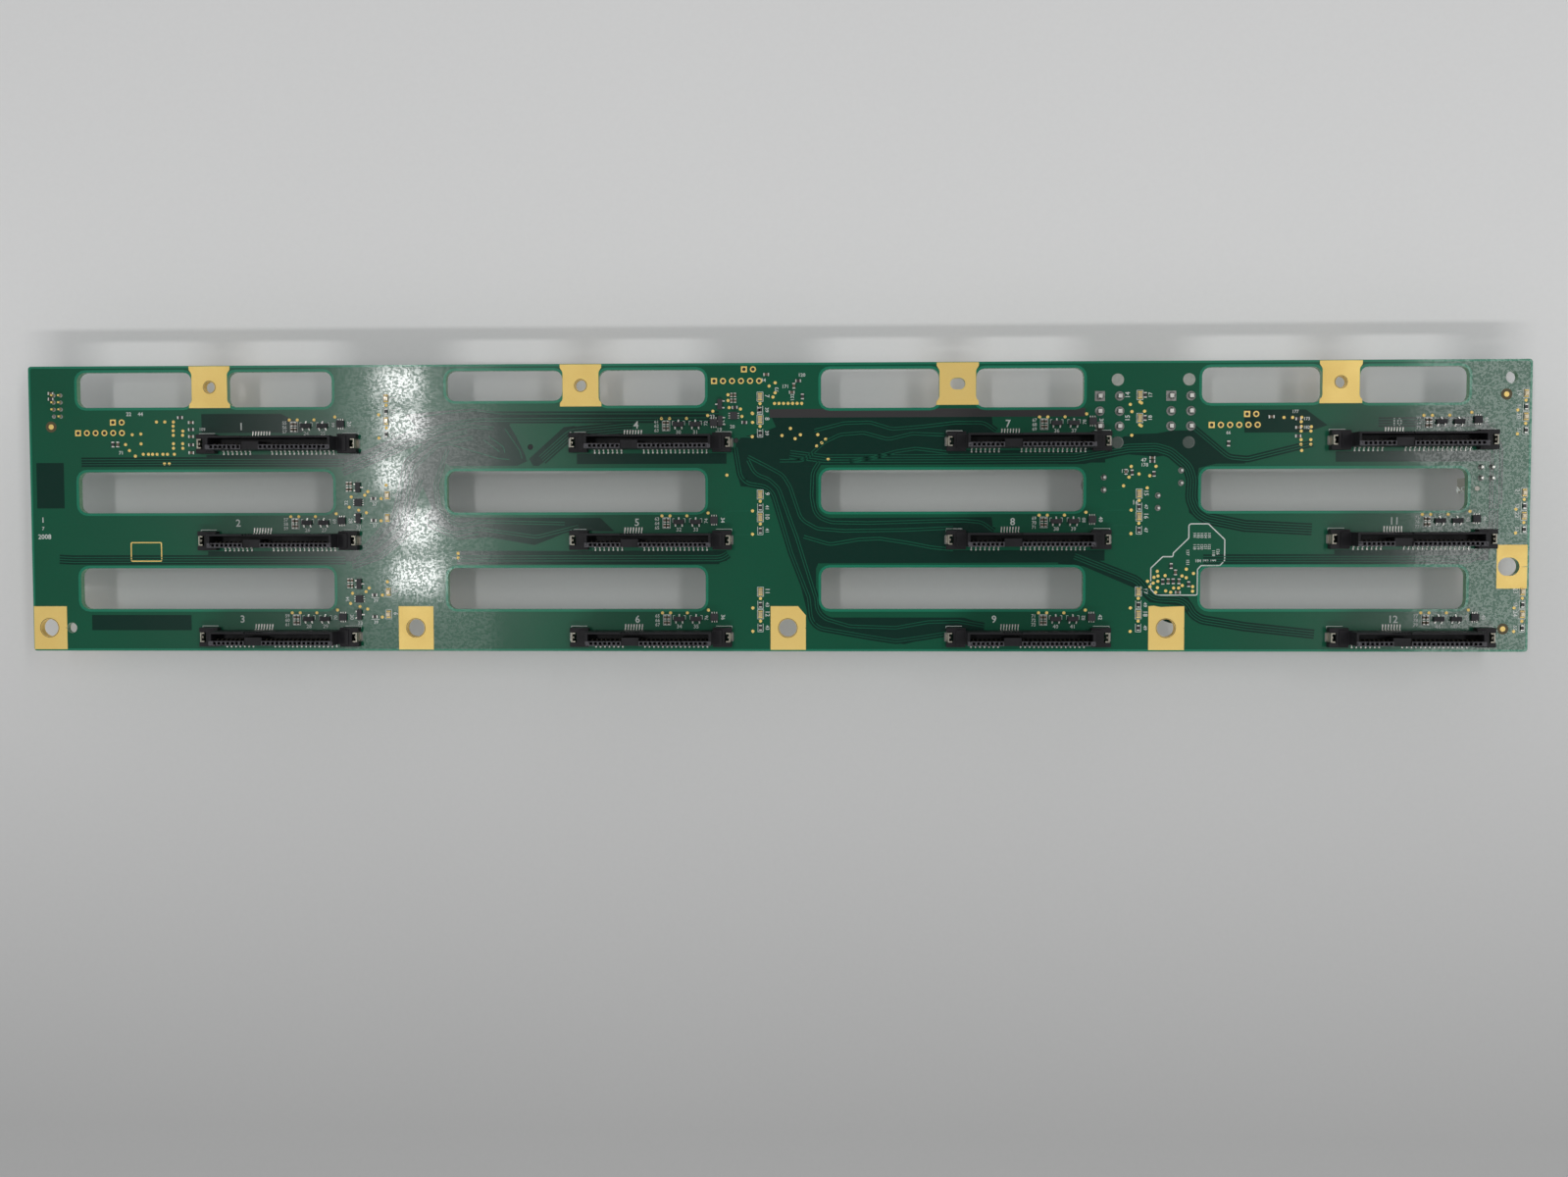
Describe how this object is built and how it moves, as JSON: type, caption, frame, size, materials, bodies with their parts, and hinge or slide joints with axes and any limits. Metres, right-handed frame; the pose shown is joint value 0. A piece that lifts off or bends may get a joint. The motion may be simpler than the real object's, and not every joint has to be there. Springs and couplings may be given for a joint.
{
  "type": "drive backplane board",
  "caption": "Windowed circuit board with rows of vertical drive sockets on its front face, and power headers, cable ports and capacitors on its rear face.",
  "frame": {"origin": "on the rear face of the board, midway between the outer two tab holes along the upper edge", "axes": "+X along the board to the right seen from the sockets, +Y towards the edge with the four tabs, +Z out of the face with the drive sockets"},
  "size_m": [0.424, 0.0814, 0.0239],
  "materials": {
    "solder_mask": "glossy green solder mask over woven glass laminate",
    "socket_plastic": "black moulded plastic, slightly rough",
    "tin_plate": "bright tin plate",
    "clip_sheet": "tinned spring sheet",
    "natural_nylon": "undyed nylon, slightly translucent",
    "header_pin": "tin-plated brass pin",
    "header_plastic": "black moulded plastic",
    "port_shell": "nickel-plated stamped sheet",
    "port_plastic": "black moulded plastic",
    "capacitor_can": "dark sleeve over an aluminium can",
    "light_lens": "clear yellowish lens resin",
    "package_epoxy": "matt black epoxy"
  },
  "bodies": {
    "root": {"aux_header_housing": "header_plastic", "aux_header_pins": "header_pin", "cable_port_1_moulding": "port_plastic", "cable_port_1_shell": "port_shell", "cable_port_2_moulding": "port_plastic", "cable_port_2_shell": "port_shell", "cable_port_3_moulding": "port_plastic", "cable_port_3_shell": "port_shell", "capacitor_1": "capacitor_can", "capacitor_2": "capacitor_can", "capacitor_3": "capacitor_can", "capacitor_leads": "tin_plate", "circuit_board": "solder_mask", "drive_socket_01_contacts": "tin_plate", "drive_socket_01_housing": "socket_plastic", "drive_socket_02_contacts": "tin_plate", "drive_socket_02_housing": "socket_plastic", "drive_socket_03_contacts": "tin_plate", "drive_socket_03_housing": "socket_plastic", "drive_socket_04_contacts": "tin_plate", "drive_socket_04_housing": "socket_plastic", "drive_socket_05_contacts": "tin_plate", "drive_socket_05_housing": "socket_plastic", "drive_socket_06_contacts": "tin_plate", "drive_socket_06_housing": "socket_plastic", "drive_socket_07_contacts": "tin_plate", "drive_socket_07_housing": "socket_plastic", "drive_socket_08_contacts": "tin_plate", "drive_socket_08_housing": "socket_plastic", "drive_socket_09_contacts": "tin_plate", "drive_socket_09_housing": "socket_plastic", "drive_socket_10_contacts": "tin_plate", "drive_socket_10_housing": "socket_plastic", "drive_socket_11_contacts": "tin_plate", "drive_socket_11_housing": "socket_plastic", "drive_socket_12_contacts": "tin_plate", "drive_socket_12_housing": "socket_plastic", "hold_down_clips": "clip_sheet", "power_header_1_housing": "natural_nylon", "power_header_1_pins": "header_pin", "power_header_2_housing": "natural_nylon", "power_header_2_pins": "header_pin", "signal_header_housing": "header_plastic", "signal_header_pins": "header_pin", "small_ics": "package_epoxy", "status_lights": "light_lens", "transistor_bodies": "package_epoxy"}
  },
  "joints": []
}
